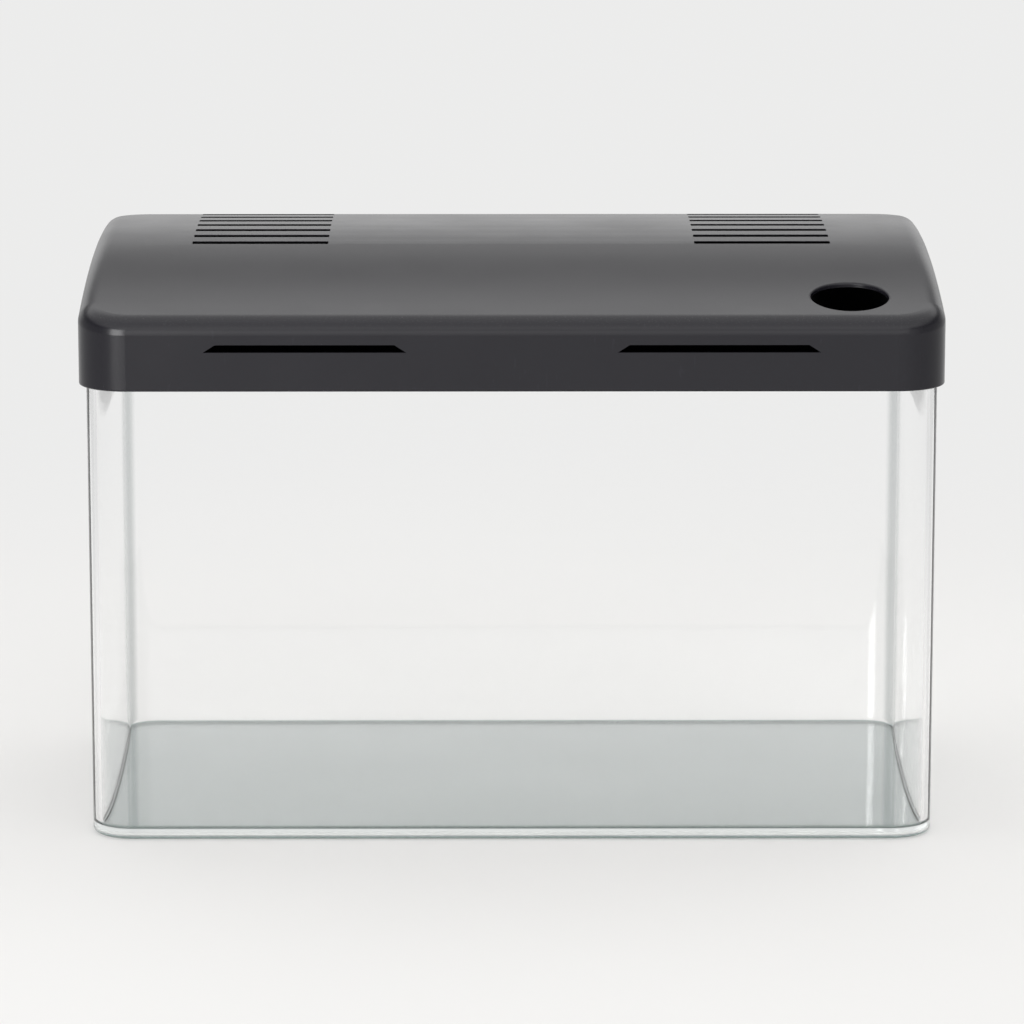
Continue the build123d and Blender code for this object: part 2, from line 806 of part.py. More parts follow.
def switch_plunger():
    """The pin that slides in the stem and presses on the contact with its round tip."""
    plunger = rod(plunger_radius, plunger_tip, plunger_tip + plunger_length, 0, 0)
    return in_rocker(fillet(plunger.edges().group_by(Axis.Y)[0], plunger_round))


def switch_spring():
    """The small coil between the plunger and the top of its bore."""
    bottom = plunger_tip + plunger_length + spring_wire
    height = spring_top - spring_wire - bottom
    path = Helix(height / spring_turns, height, spring_radius)
    coil = sweep(Plane(origin=path @ 0, z_dir=path % 0) * Circle(spring_wire), path=path)
    return in_rocker(Pos(0, bottom, 0) * Rot(-90, 0, 0) * coil)


def switch_contact():
    """The see-saw strip that rests on the middle blade, with a button behind each end."""
    strip = bar(contact_width, contact_length, 0, contact_thickness, 0, 0)
    for side in (-1, 1):
        strip += rod(button_radius, -button_height, 0, 0, side * button_offset)
    return Pos(switch_x, contact_pivot_y, inlet_z) * Rot(contact_rest, 0, 0) * strip


def blade_sleeve(x, z, width, height, tip, base):
    """An insulating sleeve over one blade, with a bore for the wire that ends on the blade."""
    rear = base - sleeve_gap
    front = tip - sleeve_tail
    room = 2 * lead_clearance
    sleeve = bar(width + room + 2 * sleeve_wall, height + room + 2 * sleeve_wall, front, rear, x, z)
    sleeve -= bar(width + room, height + room, tip, rear, x, z)
    return sleeve - rod(wire_radius + lead_clearance, front, tip, x, z)


def blade_sleeves():
    sleeves = []
    tip = switch_end - blade_length
    for z in switch_blade_places():
        sleeves.append(blade_sleeve(switch_x, z, blade_width, blade_thickness, tip, switch_end))
    tip = jack_end - jack_blade_length
    for x in jack_blade_places():
        sleeves.append(blade_sleeve(x, inlet_z, jack_blade_thickness, jack_blade_width, tip, jack_end))
    return group(sleeves)


def lead(radius, *points):
    """A round lead of straight runs joined by tangent arcs, each as large as its two runs allow."""
    places = [Vector(*point) for point in points]
    bends = []
    for before, here, after in zip(places, places[1:], places[2:]):
        turn = math.radians((here - before).get_angle(after - here))
        run = min((here - before).length, (after - here).length)
        bends.append(arc_share * run / math.tan(turn / 2))
    path = FilletPolyline(*places, radius=bends)
    print("lead of radius", radius, "length", round(path.length, 1), "bends", [round(b, 1) for b in bends])
    return sweep(Plane(origin=path @ 0, z_dir=path % 0) * Circle(radius), path=path)


def supply_lead():
    """From the inlet's inner blade round to the lower blade of the switch."""
    jack_tip = jack_end - jack_blade_length
    switch_tip = switch_end - blade_length
    start_x = jack_x - jack_blade_spread / 2
    low = inlet_z - button_offset
    return lead(
        wire_radius,
        (start_x, jack_tip, inlet_z),
        (start_x, jack_tip - 16, inlet_z),
        ((start_x + switch_x) / 2, jack_tip - 24, (inlet_z + low) / 2),
        (switch_x, switch_tip - 15.5, low),
        (switch_x, switch_tip, low),
    )


def switched_lead():
    """From the middle blade of the switch to the driver board."""
    tip = switch_end - blade_length
    return lead(
        wire_radius,
        (switch_x, tip, inlet_z),
        (switch_x, tip - 11, inlet_z),
        (switch_x - 8, switched_inlet_y + 0.5, (inlet_z + inlet_height) / 2),
        (switch_x - 18, switched_inlet_y, inlet_height),
        (driver_length / 2, switched_inlet_y, inlet_height),
    )


def return_lead():
    """From the inlet's outer blade to the driver board, in front of the supply lead."""
    tip = jack_end - jack_blade_length
    start_x = jack_x + jack_blade_spread / 2
    return lead(
        wire_radius,
        (start_x, tip, inlet_z),
        (start_x, tip - 22, inlet_z),
        (start_x - 14, tip - 36, inlet_z + 2),
        (switch_x + 2, return_inlet_y - 10, inlet_height),
        (switch_x - 14, return_inlet_y, inlet_height),
        (driver_length / 2, return_inlet_y, inlet_height),
    )


def lamp_lead():
    """The two-core cable from the driver board to the lamp board."""
    board_front = case_y - driver_width / 2
    board_rear = lamp_y + board_width / 2
    gap = case_front - tray_rear
    return lead(
        cable_radius,
        (case_outlet_x, board_front, inlet_height),
        (case_outlet_x, case_front - 0.3 * gap, inlet_height),
        (lamp_lead_x, tray_rear + 0.4 * gap, lamp_lead_z),
        (lamp_lead_x, board_rear, lamp_lead_z),
    )


def group(pieces):
    """Separate pieces of one kind that share a node."""
    return Compound([solid for piece in pieces for solid in piece.solids()])


nodes = [
    tank_shell,
    hood_shell,
    rim_pads,
    lamp_tray,
    lamp_board,
    lamp_leds,
    lamp_connector,
    lamp_gasket,
    lamp_lens,
    lamp_frame,
    frame_screws,
    tray_screws,
    board_screws,
    lamp_grommet,
    driver_case,
    driver_cover,
    driver_gasket,
    cover_screws,
    case_screws,
    driver_board,
    driver_board_screws,
    driver_capacitor,
    driver_inductor,
    driver_chip,
    driver_terminals,
    driver_grommets,
    dc_jack_body,
    dc_jack_pin,
    dc_jack_seal,
    dc_jack_nut,
    dc_jack_blades,
    switch_housing,
    switch_blades,
    switch_rocker,
    switch_plunger,
    switch_spring,
    switch_contact,
    blade_sleeves,
    supply_lead,
    switched_lead,
    return_lead,
    lamp_lead,
]

os.makedirs("parts", exist_ok=True)
for make in nodes:
    export_step(make(), os.path.join("parts", make.__name__ + ".step"))
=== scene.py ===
import math

import bmesh
import bpy
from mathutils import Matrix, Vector


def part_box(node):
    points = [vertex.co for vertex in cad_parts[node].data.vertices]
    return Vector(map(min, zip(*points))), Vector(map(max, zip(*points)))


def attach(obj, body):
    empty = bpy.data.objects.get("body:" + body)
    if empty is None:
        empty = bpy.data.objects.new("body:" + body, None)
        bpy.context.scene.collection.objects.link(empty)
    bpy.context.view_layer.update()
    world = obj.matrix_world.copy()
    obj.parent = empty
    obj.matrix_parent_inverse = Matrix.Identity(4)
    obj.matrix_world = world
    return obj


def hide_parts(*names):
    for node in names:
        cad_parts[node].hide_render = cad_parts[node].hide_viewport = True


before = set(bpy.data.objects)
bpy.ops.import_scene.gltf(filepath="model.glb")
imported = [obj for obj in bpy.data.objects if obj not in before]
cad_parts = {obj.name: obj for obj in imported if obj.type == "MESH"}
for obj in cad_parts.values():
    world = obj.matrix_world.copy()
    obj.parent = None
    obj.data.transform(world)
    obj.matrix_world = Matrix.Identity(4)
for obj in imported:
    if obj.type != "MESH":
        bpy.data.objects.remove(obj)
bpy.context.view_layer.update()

# Tank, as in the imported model, but with the smaller round that the foot has in the photo
TANK_LOW, TANK_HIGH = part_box("tank_shell")
TANK_CORNER = 0.020
TANK_WALL = 0.004
TANK_FLOOR = 0.0045
FOOT_ROUND = 0.0025
FLOOR_ROUND = 0.002
RIM_ROUND = 0.001

# Steps of the tank's skin, round a corner, round an edge and down a side
CORNER_STEPS = 28
ROUND_STEPS = 10
SIDE_STEPS = 6

# Glass, with painted shade: a dark line along the foot and darker rear corners
GLASS_IOR = 1.49
GLASS_BODY = (0.74, 0.80, 0.78, 1)
GLASS_DENSITY = 2.2
GLASS_SHADOW = (0.984, 0.989, 0.987, 1)
FOOT_LINE = 0.0018
FOOT_PAINTED_SHADE = (0.20, 0.27, 0.26, 1)
CORNER_PAINTED_SHADE = (0.64, 0.66, 0.66, 1)

# Hood shell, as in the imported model
HOOD_LOW, HOOD_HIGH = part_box("hood_shell")
HOOD_CORNER = 0.0235
HOOD_WALL = 0.0026
HOOD_TOP_ROUND = 0.009
HOOD_DEPTH = (-0.1135, 0.1135)
ROOF_RADIUS = 0.700
ROOF_PEAK_Y = 0.047

# The hood's satin outside, and where its dull inside starts, as shares of its wall. The inside is painted
# shade, darkened near black.
# Behind VENTS_FROM, where the vents are, it starts nearer to the skin, by INNER_SHIFT.
HOOD_TONE = (0.0102, 0.0096, 0.0130, 1)
HOOD_ROUGHNESS = 0.24
HOOD_LEVEL = 0.36
INNER_FROM = 0.82
INNER_BLUR = 0.10
INNER_SHIFT = 0.68
# Painted shade: the inside's tone, as a share of the outside's
INNER_PAINTED_SHADE = 0.1
INNER_ROUGHNESS = 0.95
VENTS_FROM = 0.002

# Lamp board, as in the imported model
LED_LOW, LED_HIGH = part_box("lamp_leds")
LED_COUNT = 12
LED_SIDE = 0.003

# Camera, fitted to edges measured in the photo
CAMERA_PLACE = (-0.0080, -2.6, 0.6840)
CAMERA_PITCH = math.radians(11.905)
CAMERA_YAW = math.radians(-0.184)
CAMERA_LENS = 190.82
CAMERA_SENSOR = 36.0
CAMERA_CLIP = (0.05, 60.0)

# Light bounces, enough for the light that is guided inside the glass floor
MOST_BOUNCES = 24
GLOSSY_BOUNCES = 16

# Stage, whose floor turns into the backdrop between FADE_START and FADE_END from the middle.
# To the sides it turns greyer, from a line that leans outwards by SIDE_SPLAY.
FLOOR_SIZE = 24.0
FLOOR_GAP = 0.0003
FLOOR_TONE = (0.785, 0.776, 0.762, 1)
FLOOR_GLOW = 0.25
BACKDROP_TONE = (0.840, 0.840, 0.836, 1)
SIDE_TONE = (0.62, 0.62, 0.622, 1)
FADE_START = 0.22
FADE_END = 0.95
SIDE_START = 0.26
SIDE_END = 1.60
SIDE_SPLAY = 0.10

# Soft room, as steps of brightness over the sine of the height above the horizon.
# ROOM_LEVEL is the brightest that a step can be. The room loses a share of its light to its two sides.
ROOM_LEVEL = 1.6
ROOM_STEPS = (
    (0.00, 0.84), (0.08, 0.94), (0.16, 0.90), (0.24, 0.96), (0.32, 0.38), (0.40, 0.29),
    (0.48, 0.46), (0.56, 1.60), (0.66, 1.46), (0.76, 1.30), (0.88, 1.25), (1.00, 1.45),
)
ROOM_SIDE_FROM = 0.55
ROOM_SIDE_TO = 0.90
ROOM_SIDE_LOSS = 0.60

# Lights, each with its place, its target, its width and height, and its power in watts
WINDOW_LIGHT = ((-1.05, -2.05, 0.55), (-0.1, 0, 0.2), 0.95, 1.2, 26)
FRONT_LIGHT = ((0.2, -2.6, 1.1), (0, 0, 0.2), 2.6, 1.5, 10)


def new_material(name):
    """An empty node material and its tree."""
    material = bpy.data.materials.new(name)
    material.use_nodes = True
    tree = material.node_tree
    tree.nodes.clear()
    return material, tree


def add(tree, kind, inputs=None, **settings):
    """A node with its settings and its inputs, each a value or another node's output."""
    node = tree.nodes.new(kind)
    for key, value in settings.items():
        setattr(node, key, value)
    for key, value in (inputs or {}).items():
        socket = node.inputs[key]
        if isinstance(value, bpy.types.NodeSocket):
            tree.links.new(value, socket)
        else:
            socket.default_value = value
    return node


def metric(tree):
    """Coordinates in metres, in the frame of the model."""
    return add(tree, "ShaderNodeTexCoord").outputs["Object"]


def noise(tree, scale, detail=2.0, roughness=0.5, vector=None):
    """Clouds from 0 to 1, in the model's own coordinates unless others are given."""
    vector = vector or metric(tree)
    inputs = {"Vector": vector, "Scale": scale, "Detail": detail, "Roughness": roughness}
    return add(tree, "ShaderNodeTexNoise", inputs).outputs["Fac"]


def spread(tree, value, low, high, start=0.0, end=1.0):
    """Maps a value from the range start to end onto low to high."""
    inputs = {"Value": value, "From Min": start, "From Max": end, "To Min": low, "To Max": high}
    return add(tree, "ShaderNodeMapRange", inputs).outputs["Result"]


def blend_colors(tree, factor, first, second):
    """A colour between two others, by a factor from 0 to 1."""
    node = add(tree, "ShaderNodeMix", data_type="RGBA")
    for socket, value in (("Factor_Float", factor), ("A_Color", first), ("B_Color", second)):
        target = next(s for s in node.inputs if s.identifier == socket)
        if isinstance(value, bpy.types.NodeSocket):
            tree.links.new(value, target)
        else:
            target.default_value = value
    return next(s for s in node.outputs if s.identifier == "Result_Color")


def blend_values(tree, factor, first, second):
    """A value between two others, by a factor from 0 to 1."""
    node = add(tree, "ShaderNodeMix", {0: factor, 2: first, 3: second}, data_type="FLOAT")
    return node.outputs[0]


def bump(tree, height, distance, strength=1.0, normal=None):
    """A normal that follows small heights, on top of another normal where one is given."""
    inputs = {"Height": height, "Distance": distance, "Strength": strength}
    if normal is not None:
        inputs["Normal"] = normal
    return add(tree, "ShaderNodeBump", inputs).outputs["Normal"]


def surface(tree, shader):
    """The output node, with this shader as the surface."""
    return add(tree, "ShaderNodeOutputMaterial", {"Surface": shader})


def calc(tree, operation, first, second=None, third=None):
    """The output of one sum on values."""
    inputs = {0: first}
    if second is not None:
        inputs[1] = second
    if third is not None:
        inputs[2] = third
    return add(tree, "ShaderNodeMath", inputs, operation=operation).outputs[0]


def reach(tree, first, second):
    """The length of a step that goes this far along two axes at right angles."""
    squares = calc(tree, "ADD", calc(tree, "MULTIPLY", first, first), calc(tree, "MULTIPLY", second, second))
    return calc(tree, "SQRT", squares)


def axes(tree, vector=None):
    """The X, Y and Z of a place, in metres."""
    return add(tree, "ShaderNodeSeparateXYZ", {0: vector or metric(tree)}).outputs


def scaled(tree, factors, vector=None):
    """Coordinates stretched by a factor along each axis."""
    inputs = {0: vector or metric(tree), 1: factors}
    return add(tree, "ShaderNodeVectorMath", inputs, operation="MULTIPLY").outputs[0]


def opposite(tree, value):
    """One where a value is zero, and zero where it is one."""
    return calc(tree, "SUBTRACT", 1.0, value)


def step_up(tree, value, place, width):
    """Rises smoothly from 0 to 1 round a place."""
    inputs = {"Value": value, "From Min": place - width / 2, "From Max": place + width / 2}
    return add(tree, "ShaderNodeMapRange", inputs, interpolation_type="SMOOTHSTEP").outputs["Result"]


def ramp_up(tree, value, start, end):
    """Rises smoothly from 0 at the start to 1 at the end."""
    return step_up(tree, value, (start + end) / 2, end - start)


def shade(tone, factor):
    """A tone made darker or lighter, with its fourth channel."""
    return tuple(min(1.0, channel * factor) for channel in tone[:3]) + (1,)


def mottled(tree, tone, scale=18.0, share=0.12):
    """A tone with faint clouds."""
    cloud = spread(tree, noise(tree, scale, 3.0), 0.0, 1.0, 0.3, 0.7)
    return blend_colors(tree, cloud, shade(tone, 1 - share), shade(tone, 1 + share))


def uneven(tree, middle, swing, scale=60.0):
    """A value that wanders round its middle over the surface."""
    return spread(tree, noise(tree, scale, 4.0), middle - swing, middle + swing, 0.3, 0.7)


def dust(tree, share, scale=900.0):
    """Fine specks, thickest on faces that look up."""
    up = axes(tree, add(tree, "ShaderNodeNewGeometry").outputs["Normal"])[2]
    specks = step_up(tree, noise(tree, scale, 2.0, 0.7), 0.64, 0.06)
    return calc(tree, "MULTIPLY", calc(tree, "MULTIPLY", specks, step_up(tree, up, 0.5, 0.9)), share)


def scratches(tree, scale=(900.0, 60.0, 300.0), place=0.62):
    """Short fine hairlines, as a value from 0 to 1."""
    lines = add(tree, "ShaderNodeTexNoise", {
        "Vector": scaled(tree, scale), "Scale": 1.0, "Detail": 2.0, "Roughness": 0.6, "Distortion": 0.4,
    }).outputs["Fac"]
    return step_up(tree, lines, place, 0.03)


def edge_wear(tree, radius):
    """One at sharp outer edges and zero elsewhere, found from a rounded normal."""
    soft = add(tree, "ShaderNodeBevel", {"Radius": radius}, samples=4).outputs["Normal"]
    plain = add(tree, "ShaderNodeNewGeometry").outputs["Normal"]
    dot = add(tree, "ShaderNodeVectorMath", {0: soft, 1: plain}, operation="DOT_PRODUCT").outputs["Value"]
    return step_up(tree, opposite(tree, dot), place=0.12, width=0.16)


def finish(material, tree, inputs):
    """A principled shader with these inputs as the material's surface."""
    surface(tree, add(tree, "ShaderNodeBsdfPrincipled", inputs).outputs[0])
    return material


def moulded_plastic(name, tone, roughness, grain=2600.0, depth=0.00001):
    """Injection-moulded plastic with a fine grain, faint flow marks and an uneven sheen."""
    material, tree = new_material(name)
    color = mottled(tree, tone)
    worn = calc(tree, "MULTIPLY", edge_wear(tree, 0.0004), 0.35)
    color = blend_colors(tree, worn, color, shade(tone, 1.8))
    color = blend_colors(tree, dust(tree, 0.25), color, (0.30, 0.29, 0.27, 1))
    return finish(material, tree, {
        "Base Color": color, "Roughness": uneven(tree, roughness, 0.04), "IOR": 1.5,
        "Specular IOR Level": 0.4, "Normal": bump(tree, noise(tree, grain, 3.0, 0.6), depth),
    })


def hood_skin_depth(tree):
    """How far a point of the hood lies inside its outer face, in metres."""
    x, y, z = axes(tree)
    hood_front, hood_rear = HOOD_DEPTH
    middle = (hood_front + hood_rear) / 2
    flat_x = (HOOD_HIGH.x - HOOD_LOW.x) / 2 - HOOD_CORNER
    flat_y = (hood_rear - hood_front) / 2 - HOOD_CORNER
    over_x = calc(tree, "SUBTRACT", calc(tree, "ABSOLUTE", x), flat_x)
    over_y = calc(tree, "SUBTRACT", calc(tree, "ABSOLUTE", calc(tree, "SUBTRACT", y, middle)), flat_y)
    outside = reach(tree, calc(tree, "MAXIMUM", over_x, 0.0), calc(tree, "MAXIMUM", over_y, 0.0))
    within = calc(tree, "MINIMUM", calc(tree, "MAXIMUM", over_x, over_y), 0.0)
    side = calc(tree, "SUBTRACT", HOOD_CORNER, calc(tree, "ADD", outside, within))
    away = calc(tree, "SUBTRACT", y, ROOF_PEAK_Y)
    fall = calc(tree, "SUBTRACT", ROOF_RADIUS**2, calc(tree, "MULTIPLY", away, away))
    roof = calc(tree, "ADD", calc(tree, "SQRT", fall), HOOD_HIGH.z - ROOF_RADIUS)
    short_side = calc(tree, "MAXIMUM", calc(tree, "SUBTRACT", HOOD_TOP_ROUND, side), 0.0)
    below = calc(tree, "SUBTRACT", roof, z)
    short_roof = calc(tree, "MAXIMUM", calc(tree, "SUBTRACT", HOOD_TOP_ROUND, below), 0.0)
    return calc(tree, "SUBTRACT", HOOD_TOP_ROUND, reach(tree, short_side, short_roof))


def hood_plastic():
    """The hood's satin outside with its fine grain, and its inside, painted near black as shade, with a
    metal setting that dims its sheen.
    """
    material, tree = new_material("hood_satin_plastic")
    behind = step_up(tree, axes(tree)[1], place=VENTS_FROM, width=0.002)
    depth = calc(tree, "MULTIPLY_ADD", behind, HOOD_WALL * INNER_SHIFT, hood_skin_depth(tree))
    painted_inside_shade = step_up(tree, depth, place=HOOD_WALL * INNER_FROM, width=HOOD_WALL * INNER_BLUR)
    color = mottled(tree, HOOD_TONE, scale=7.0, share=0.06)
    worn = calc(tree, "MULTIPLY", edge_wear(tree, radius=0.0006), 0.25)
    color = blend_colors(tree, worn, color, shade(HOOD_TONE, 1.7))
    hairlines = scratches(tree, scale=(420.0, 55.0, 90.0), place=0.70)
    color = blend_colors(tree, hairlines, color, shade(HOOD_TONE, 1.25))
    color = blend_colors(tree, dust(tree, share=0.10, scale=1400.0), color, (0.20, 0.20, 0.19, 1))
    # Painted shade: faces inside the hood's wall, such as the walls of its openings, are darkened near black
    # and made metallic so that their sheen dims
    color = blend_colors(tree, painted_inside_shade, color, shade(HOOD_TONE, INNER_PAINTED_SHADE))
    satin = uneven(tree, HOOD_ROUGHNESS, swing=0.018, scale=26.0)
    swell = bump(tree, noise(tree, scale=14.0, detail=1.0), distance=0.0003, strength=0.35)
    grain = noise(tree, scale=3200.0, detail=2.0, roughness=0.6)
    return finish(material, tree, {
        "Base Color": color, "Metallic": painted_inside_shade, "IOR": 1.5, "Specular IOR Level": HOOD_LEVEL,
        "Roughness": blend_values(tree, painted_inside_shade, satin, INNER_ROUGHNESS),
        "Normal": bump(tree, grain, distance=0.000006, normal=swell),
    })


def silicone(name, tone):
    """Soft translucent silicone with a milky body and a trace of dust."""
    material, tree = new_material(name)
    color = blend_colors(tree, dust(tree, 0.4), mottled(tree, tone, 120.0, 0.05), (0.55, 0.53, 0.50, 1))
    return finish(material, tree, {
        "Base Color": color, "Roughness": uneven(tree, 0.42, 0.06, 200.0), "IOR": 1.41,
        "Transmission Weight": 0.35, "Subsurface Weight": 0.25, "Subsurface Scale": 0.002,
        "Normal": bump(tree, noise(tree, 900.0), 0.00001),
    })


def rubber(name, tone):
    """Dull soft rubber or insulation with pale bloom and a fine rough skin."""
    material, tree = new_material(name)
    bloom = spread(tree, noise(tree, 240.0, 4.0), 0.0, 0.16, 0.45, 0.7)
    color = blend_colors(tree, bloom, mottled(tree, tone, 90.0, 0.15), shade(tone, 2.4))
    return finish(material, tree, {
        "Base Color": color, "Roughness": uneven(tree, 0.62, 0.08, 300.0), "IOR": 1.5,
        "Specular IOR Level": 0.4, "Normal": bump(tree, noise(tree, 1800.0, 3.0, 0.7), 0.00002),
    })


def metal(name, tone, roughness, brushing=(40.0, 900.0, 900.0), tarnish=0.25):
    """Drawn or turned metal with fine lines along one axis and faint tarnish."""
    material, tree = new_material(name)
    lines = noise(tree, 1.0, 3.0, 0.6, scaled(tree, brushing))
    patches = spread(tree, noise(tree, 160.0, 4.0), 0.0, tarnish, 0.45, 0.75)
    color = blend_colors(tree, patches, shade(tone, 1.0), shade(tone, 0.45))
    sheen = spread(tree, lines, roughness - 0.08, roughness + 0.10, 0.3, 0.7)
    return finish(material, tree, {
        "Base Color": color, "Metallic": 1.0, "Roughness": sheen, "Normal": bump(tree, lines, 0.000012),
    })


def circuit_board(name, mask, copper, pitch):
    """A board with a solder mask over raised tracks on both faces."""
    material, tree = new_material(name)
    place = scaled(tree, (1.0, 1.0, 0.0))
    tracks = add(tree, "ShaderNodeTexBrick", {
        "Vector": place, "Color1": (0, 0, 0, 1), "Color2": (0, 0, 0, 1), "Mortar": (1, 1, 1, 1),
        "Scale": 1.0, "Mortar Size": pitch * 0.07, "Mortar Smooth": 0.1, "Bias": 0.0,
        "Brick Width": pitch * 3.1, "Row Height": pitch,
    }).outputs["Color"]
    holes = add(tree, "ShaderNodeTexVoronoi", {
        "Vector": place, "Scale": 0.32 / pitch, "Randomness": 0.35,
    }).outputs["Distance"]
    pads = opposite(tree, step_up(tree, holes, place=0.16, width=0.02))
    color = blend_colors(tree, calc(tree, "MULTIPLY", tracks, 0.55), shade(mask, 1.0), copper)
    color = blend_colors(tree, pads, color, (0.62, 0.60, 0.54, 1))
    color = blend_colors(tree, spread(tree, noise(tree, 70.0), 0.0, 0.2, 0.4, 0.7), color, shade(mask, 0.7))
    return finish(material, tree, {
        "Base Color": color, "Roughness": uneven(tree, 0.34, 0.06, 120.0), "IOR": 1.5,
        "Coat Weight": 0.3, "Normal": bump(tree, tracks, 0.00003),
    })


def led_faces():
    """Small white cups, each with a round yellow phosphor in the middle."""
    material, tree = new_material("led_cup_and_phosphor")
    x, y = axes(tree)[:2]
    pitch = (LED_HIGH.x - LED_LOW.x - LED_SIDE) / (LED_COUNT - 1)
    steps = calc(tree, "DIVIDE", calc(tree, "SUBTRACT", x, LED_LOW.x + LED_SIDE / 2), pitch)
    off_x = calc(tree, "MULTIPLY", calc(tree, "SUBTRACT", steps, calc(tree, "ROUND", steps)), pitch)
    middle = (LED_LOW.y + LED_HIGH.y) / 2
    row = (LED_HIGH.y - LED_LOW.y - LED_SIDE) / 2
    off_y = calc(tree, "SUBTRACT", calc(tree, "ABSOLUTE", calc(tree, "SUBTRACT", y, middle)), row)
    cup = step_up(tree, reach(tree, off_x, off_y), place=LED_SIDE * 0.38, width=LED_SIDE * 0.05)
    phosphor = mottled(tree, (0.85, 0.62, 0.10), 2400.0, 0.15)
    color = blend_colors(tree, cup, phosphor, mottled(tree, (0.80, 0.80, 0.77), 600.0, 0.04))
    return finish(material, tree, {
        "Base Color": color, "Roughness": uneven(tree, 0.30, 0.05, 900.0), "IOR": 1.5,
        "Normal": bump(tree, cup, 0.0002),
    })


def nylon(name, tone):
    """Glossy nylon or hard moulding with faint sink marks and fine flow lines."""
    material, tree = new_material(name)
    flow = noise(tree, 1.0, 3.0, 0.5, scaled(tree, (60.0, 700.0, 500.0)))
    color = blend_colors(tree, spread(tree, flow, 0.0, 0.35, 0.35, 0.75), shade(tone, 1.0), shade(tone, 0.8))
    color = blend_colors(tree, calc(tree, "MULTIPLY", edge_wear(tree, 0.0003), 0.3), color, shade(tone, 1.6))
    return finish(material, tree, {
        "Base Color": color, "Roughness": uneven(tree, 0.30, 0.07, 160.0), "IOR": 1.5,
        "Specular IOR Level": 0.45, "Normal": bump(tree, noise(tree, 90.0, 2.0), 0.00006),
    })


def frosted_lens():
    """Frosted clear plastic with fine upright ribs on the lamp's lens."""
    material, tree = new_material("frosted_lens")
    x = axes(tree)[0]
    ribs = calc(tree, "PINGPONG", x, 0.0012)
    normal = bump(tree, ribs, 0.5, 0.12, bump(tree, noise(tree, 1500.0, 2.0), 0.00002))
    return finish(material, tree, {
        "Base Color": mottled(tree, (0.92, 0.94, 0.94), 40.0, 0.02), "IOR": 1.49,
        "Roughness": uneven(tree, 0.28, 0.05, 80.0), "Transmission Weight": 0.85, "Normal": normal,
    })


def can_sleeve():
    """The capacitor's shrunk sleeve, with bare aluminium on its closed end."""
    material, tree = new_material("can_with_sleeve")
    low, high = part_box("driver_capacitor")
    x, y, z = axes(tree)
    end = opposite(tree, step_up(tree, z, place=low.z + 0.0004, width=0.0002))
    cross = calc(tree, "MINIMUM",
                 calc(tree, "ABSOLUTE", calc(tree, "SUBTRACT", x, (low.x + high.x) / 2)),
                 calc(tree, "ABSOLUTE", calc(tree, "SUBTRACT", y, (low.y + high.y) / 2)))
    groove = opposite(tree, step_up(tree, cross, place=0.0003, width=0.0002))
    groove = calc(tree, "MULTIPLY", groove, end)
    sleeve = mottled(tree, (0.03, 0.05, 0.12), 300.0, 0.15)
    color = blend_colors(tree, end, sleeve, (0.75, 0.76, 0.77, 1))
    color = blend_colors(tree, groove, color, (0.35, 0.35, 0.36, 1))
    return finish(material, tree, {
        "Base Color": color, "Metallic": end, "Roughness": uneven(tree, 0.32, 0.06, 400.0),
        "Normal": bump(tree, groove, -0.0002),
    })


def copper_winding():
    """Enamelled copper wire wound round the inductor's dark core."""
    material, tree = new_material("copper_winding")
    low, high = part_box("driver_inductor")
    x, y, z = axes(tree)
    dx = calc(tree, "SUBTRACT", x, (low.x + high.x) / 2)
    dy = calc(tree, "SUBTRACT", y, (low.y + high.y) / 2)
    core = step_up(tree, reach(tree, dx, dy), place=0.00435, width=0.0001)
    lower = opposite(tree, step_up(tree, z, place=low.z + 0.001, width=0.0001))
    upper = step_up(tree, z, place=high.z - 0.001, width=0.0001)
    ferrite = calc(tree, "MAXIMUM", core, calc(tree, "MAXIMUM", lower, upper))
    turns = calc(tree, "PINGPONG", z, 0.00015)
    copper = mottled(tree, (0.55, 0.22, 0.07), 900.0, 0.2)
    color = blend_colors(tree, ferrite, copper, mottled(tree, (0.035, 0.034, 0.034), 1500.0, 0.3))
    return finish(material, tree, {
        "Base Color": color, "Metallic": calc(tree, "MULTIPLY", opposite(tree, ferrite), 0.85),
        "Roughness": uneven(tree, 0.38, 0.08, 500.0), "Normal": bump(tree, turns, 0.6, 0.6),
    })


def chip_resin():
    """Matt black moulded resin with a small round dimple near one corner."""
    material, tree = new_material("chip_resin")
    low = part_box("driver_chip")[0]
    x, y = axes(tree)[:2]
    dx = calc(tree, "SUBTRACT", x, low.x + 0.0010)
    dy = calc(tree, "SUBTRACT", y, low.y + 0.0010)
    dimple = opposite(tree, step_up(tree, reach(tree, dx, dy), place=0.0004, width=0.0001))
    resin = mottled(tree, (0.02, 0.02, 0.021), 900.0, 0.25)
    color = blend_colors(tree, dimple, resin, (0.05, 0.05, 0.05, 1))
    return finish(material, tree, {
        "Base Color": color, "Roughness": uneven(tree, 0.55, 0.06, 900.0),
        "Normal": bump(tree, dimple, -0.0001, 1.0, bump(tree, noise(tree, 4000.0), 0.00001)),
    })


def sleeve_plastic():
    """Milky insulating sleeve, a little see-through."""
    material, tree = new_material("milky_sleeve")
    return finish(material, tree, {
        "Base Color": mottled(tree, (0.72, 0.74, 0.76), 240.0, 0.06), "IOR": 1.46,
        "Roughness": uneven(tree, 0.35, 0.06, 300.0), "Transmission Weight": 0.4,
        "Subsurface Weight": 0.2, "Subsurface Scale": 0.001,
        "Normal": bump(tree, noise(tree, 500.0, 3.0), 0.00003),
    })


